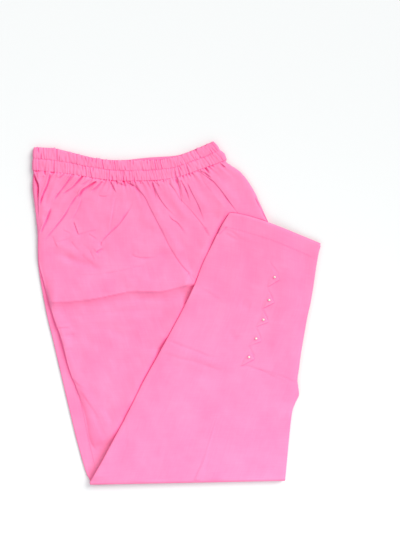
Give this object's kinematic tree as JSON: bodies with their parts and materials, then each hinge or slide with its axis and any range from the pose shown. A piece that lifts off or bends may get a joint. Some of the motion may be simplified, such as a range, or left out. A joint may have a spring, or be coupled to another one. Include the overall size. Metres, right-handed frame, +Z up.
{
  "type": "folded pyjama pants",
  "caption": "Pull-on cotton pants with a gathered double-channel elastic waist, folded flat with the tapered legs turned up, beaded triangular tabs above the hem.",
  "frame": {"origin": "on the surface that the pants lie on, under the middle of their box", "axes": "+Y from the knee fold to the waistband, +X to the wearer-side edge where the hem ends, +Z up from the surface"},
  "size_m": [0.4492, 0.5349, 0.0203],
  "materials": {
    "leg_cloth": "plain-woven cotton, soft and matt with a slight sheen, bright pink",
    "waistband": "the same cotton gathered over elastic, bright pink",
    "tab_cloth": "the same cotton, folded and pressed, bright pink",
    "bead": "imitation pearl, glossy with a soft lustre, ivory"
  },
  "bodies": {
    "root": {"waistband": "waistband", "left_leg_front": "leg_cloth", "left_leg_back": "leg_cloth", "right_leg_front": "leg_cloth", "right_leg_back": "leg_cloth", "tab_1": "tab_cloth", "tab_2": "tab_cloth", "tab_3": "tab_cloth", "tab_4": "tab_cloth", "tab_5": "tab_cloth", "bead_1": "bead", "bead_2": "bead", "bead_3": "bead", "bead_4": "bead", "bead_5": "bead"}
  },
  "joints": []
}
